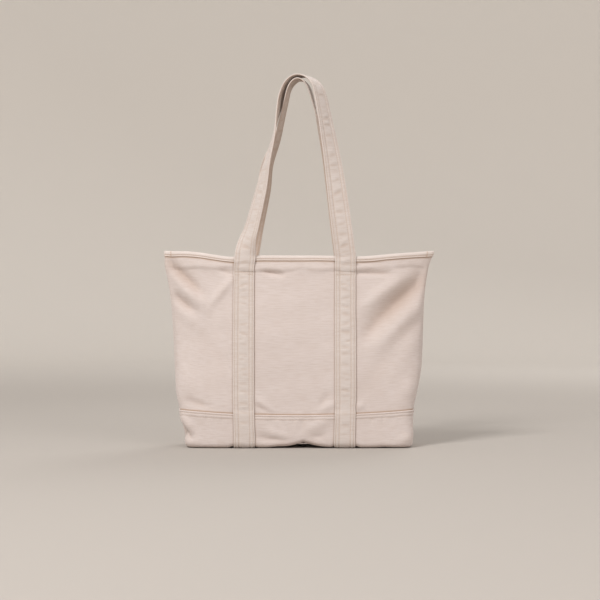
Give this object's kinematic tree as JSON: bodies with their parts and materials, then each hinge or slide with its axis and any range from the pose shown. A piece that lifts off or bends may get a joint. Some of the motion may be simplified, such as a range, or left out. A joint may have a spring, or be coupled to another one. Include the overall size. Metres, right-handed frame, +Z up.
{
  "type": "canvas tote bag",
  "caption": "Open canvas shopper with a doubled base band, a bound mouth and two long strap handles that run down the panels and under the base.",
  "frame": {"origin": "middle of the underside, on the surface that the bag stands on", "axes": "+Z up; +X to the right seen from the front; the front panel faces -Y"},
  "size_m": [0.479, 0.1196, 0.6771],
  "materials": {
    "natural_canvas": "natural undyed cotton canvas, plain weave with slubs",
    "self_fabric_strap": "folded strap of the same canvas",
    "bias_binding": "bias-cut canvas tape",
    "sewing_thread": "undyed polyester-cotton thread"
  },
  "bodies": {
    "base": {"base_floor": "natural_canvas", "corner_seam_left": "natural_canvas", "corner_seam_right": "natural_canvas", "side_seam_left": "natural_canvas", "side_seam_right": "natural_canvas", "under_strap_left": "self_fabric_strap", "under_strap_right": "self_fabric_strap"},
    "front": {"front_panel": "natural_canvas", "front_band": "natural_canvas", "front_facing": "natural_canvas", "front_binding": "bias_binding", "front_strap_left": "self_fabric_strap", "front_strap_right": "self_fabric_strap", "front_strap_stitching_left": "sewing_thread", "front_strap_stitching_right": "sewing_thread", "front_band_stitching_upper": "sewing_thread", "front_band_stitching_lower": "sewing_thread", "front_binding_stitching": "sewing_thread"},
    "rear": {"rear_panel": "natural_canvas", "rear_band": "natural_canvas", "rear_facing": "natural_canvas", "rear_binding": "bias_binding", "rear_strap_left": "self_fabric_strap", "rear_strap_right": "self_fabric_strap", "rear_strap_stitching_left": "sewing_thread", "rear_strap_stitching_right": "sewing_thread", "rear_band_stitching_upper": "sewing_thread", "rear_band_stitching_lower": "sewing_thread", "rear_binding_stitching": "sewing_thread"},
    "front_handle": {"front_handle": "self_fabric_strap", "front_handle_stitching_inner": "sewing_thread", "front_handle_stitching_outer": "sewing_thread"},
    "rear_handle": {"rear_handle": "self_fabric_strap", "rear_handle_stitching_inner": "sewing_thread", "rear_handle_stitching_outer": "sewing_thread"}
  },
  "joints": [
    {"name": "front_mouth", "type": "hinge", "parent": "base", "child": "front", "pos_m": [0, -0.059, 0], "axis": [1, 0, 0], "range_deg": [0, 12]},
    {"name": "rear_mouth", "type": "hinge", "parent": "base", "child": "rear", "pos_m": [0, 0.059, 0], "axis": [-1, 0, 0], "range_deg": [0, 12]},
    {"name": "front_handle_fold", "type": "hinge", "parent": "front", "child": "front_handle", "pos_m": [0, -0.02892, 0.32178], "axis": [1, 0, 0], "range_deg": [0, 142]},
    {"name": "rear_handle_fold", "type": "hinge", "parent": "rear", "child": "rear_handle", "pos_m": [0, 0.02892, 0.32178], "axis": [-1, 0, 0], "range_deg": [0, 142]}
  ]
}
